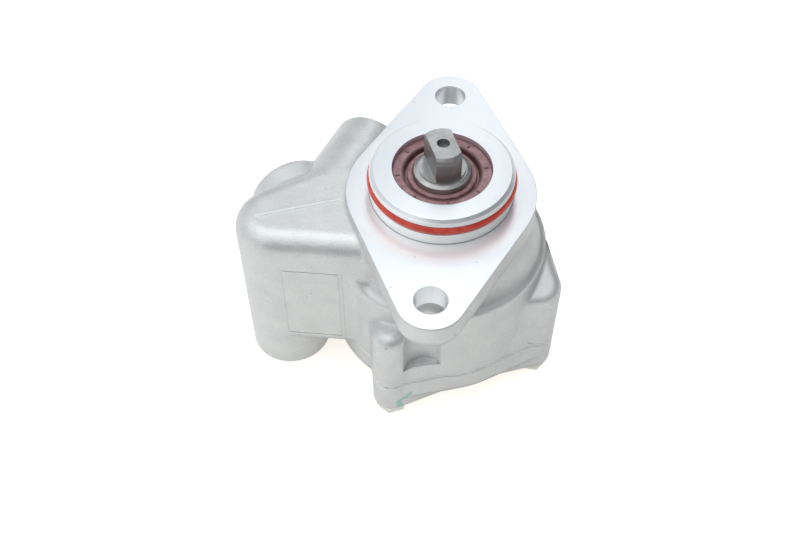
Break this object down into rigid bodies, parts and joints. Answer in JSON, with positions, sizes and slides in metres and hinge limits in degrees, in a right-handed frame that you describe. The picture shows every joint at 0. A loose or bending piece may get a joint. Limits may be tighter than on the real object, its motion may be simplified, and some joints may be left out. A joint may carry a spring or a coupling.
{
  "type": "power steering pump",
  "caption": "Vane-type power steering pump: cast housing with two-ear mounting flange, spigot, flatted drive shaft, port block with suction and pressure threads, and a bolted rear cover.",
  "frame": {"origin": "centre of the mounting face, on the shaft axis", "axes": "+Z along the shaft, out of the spigot; +Y through the two mounting holes; the port block stands out toward -X"},
  "size_m": [0.1442, 0.1484, 0.1235],
  "materials": {
    "cast_aluminium": "sand-cast, blasted, machined on the flange and joint",
    "zinc_steel": "zinc plated",
    "ground_steel": "ground steel, dulled by oil",
    "bearing_steel": "polished",
    "hardened_steel": "ground",
    "spring_steel": "oiled spring steel",
    "dark_steel": "pressed steel, phosphated",
    "sintered_iron": "sintered and ground",
    "pressed_brass": "pressed",
    "bush_bronze": "plain bearing bronze",
    "red_rubber": "smooth red rubber",
    "brown_rubber": "smooth brown rubber",
    "black_rubber": "smooth black rubber"
  },
  "bodies": {
    "housing_body": {"housing": "cast_aluminium", "rear_cover": "cast_aluminium", "cover_screws": "zinc_steel", "cover_o_ring": "black_rubber", "pilot_o_ring": "red_rubber", "shaft_seal": "brown_rubber", "seal_case": "dark_steel", "garter_spring": "spring_steel", "bearing_outer_race": "bearing_steel", "bearing_circlip": "spring_steel", "pressure_plate": "sintered_iron", "plate_o_ring": "black_rubber", "plate_spring": "spring_steel", "cam_ring": "hardened_steel", "rear_side_plate": "sintered_iron", "dowel_pins": "bearing_steel", "shaft_bush": "bush_bronze", "valve_plug": "zinc_steel", "plug_washer": "bush_bronze", "spool_stop": "spring_steel", "spool_spring": "spring_steel"},
    "shaft_body": {"drive_shaft": "ground_steel", "rotor": "hardened_steel", "bearing_inner_race": "bearing_steel", "shaft_circlip": "spring_steel", "rotor_circlip": "spring_steel"},
    "cage_body": {"bearing_cage": "pressed_brass", "bearing_balls": "bearing_steel"},
    "spool_body": {"flow_spool": "hardened_steel", "relief_spring_seat": "pressed_brass", "relief_spring": "spring_steel"},
    "ball_body": {"relief_ball": "bearing_steel"},
    "vane_01_body": {"vane_01": "hardened_steel"},
    "vane_02_body": {"vane_02": "hardened_steel"},
    "vane_03_body": {"vane_03": "hardened_steel"},
    "vane_04_body": {"vane_04": "hardened_steel"},
    "vane_05_body": {"vane_05": "hardened_steel"},
    "vane_06_body": {"vane_06": "hardened_steel"},
    "vane_07_body": {"vane_07": "hardened_steel"},
    "vane_08_body": {"vane_08": "hardened_steel"},
    "vane_09_body": {"vane_09": "hardened_steel"},
    "vane_10_body": {"vane_10": "hardened_steel"}
  },
  "joints": [
    {"name": "shaft_spin", "type": "hinge", "parent": "housing_body", "child": "shaft_body", "pos_m": [0, 0, 0], "axis": [0, 0, 1], "continuous": true},
    {"name": "cage_spin", "type": "hinge", "parent": "housing_body", "child": "cage_body", "pos_m": [0, 0, -0.008], "axis": [0, 0, 1], "continuous": true},
    {"name": "spool_slide", "type": "slide", "parent": "housing_body", "child": "spool_body", "axis": [0.342, 0.9397, 0], "range_m": [0, 0.006], "stiffness_N_per_m": 5000, "springref_m": -0.008, "deforming": ["spool_spring"]},
    {"name": "relief_slide", "type": "slide", "parent": "spool_body", "child": "ball_body", "axis": [0.342, 0.9397, 0], "range_m": [0, 0.0008], "stiffness_N_per_m": 4000, "springref_m": -0.001, "deforming": ["relief_spring"]},
    {"name": "vane_01_slide", "type": "slide", "parent": "shaft_body", "child": "vane_01_body", "axis": [1, 0, 0], "range_m": [-0.0003, 0.00055]},
    {"name": "vane_02_slide", "type": "slide", "parent": "shaft_body", "child": "vane_02_body", "axis": [0.809, 0.5878, 0], "range_m": [-0.0003, 0.00055]},
    {"name": "vane_03_slide", "type": "slide", "parent": "shaft_body", "child": "vane_03_body", "axis": [0.309, 0.9511, 0], "range_m": [-0.0003, 0.00055]},
    {"name": "vane_04_slide", "type": "slide", "parent": "shaft_body", "child": "vane_04_body", "axis": [-0.309, 0.9511, 0], "range_m": [-0.0003, 0.00055]},
    {"name": "vane_05_slide", "type": "slide", "parent": "shaft_body", "child": "vane_05_body", "axis": [-0.809, 0.5878, 0], "range_m": [-0.0003, 0.00055]},
    {"name": "vane_06_slide", "type": "slide", "parent": "shaft_body", "child": "vane_06_body", "axis": [-1, 0, 0], "range_m": [-0.0003, 0.00055]},
    {"name": "vane_07_slide", "type": "slide", "parent": "shaft_body", "child": "vane_07_body", "axis": [-0.809, -0.5878, 0], "range_m": [-0.0003, 0.00055]},
    {"name": "vane_08_slide", "type": "slide", "parent": "shaft_body", "child": "vane_08_body", "axis": [-0.309, -0.9511, 0], "range_m": [-0.0003, 0.00055]},
    {"name": "vane_09_slide", "type": "slide", "parent": "shaft_body", "child": "vane_09_body", "axis": [0.309, -0.9511, 0], "range_m": [-0.0003, 0.00055]},
    {"name": "vane_10_slide", "type": "slide", "parent": "shaft_body", "child": "vane_10_body", "axis": [0.809, -0.5878, 0], "range_m": [-0.0003, 0.00055]}
  ],
  "couplings": [
    {"joint": "cage_spin", "follows": "shaft_spin", "ratio": 0.3821}
  ]
}
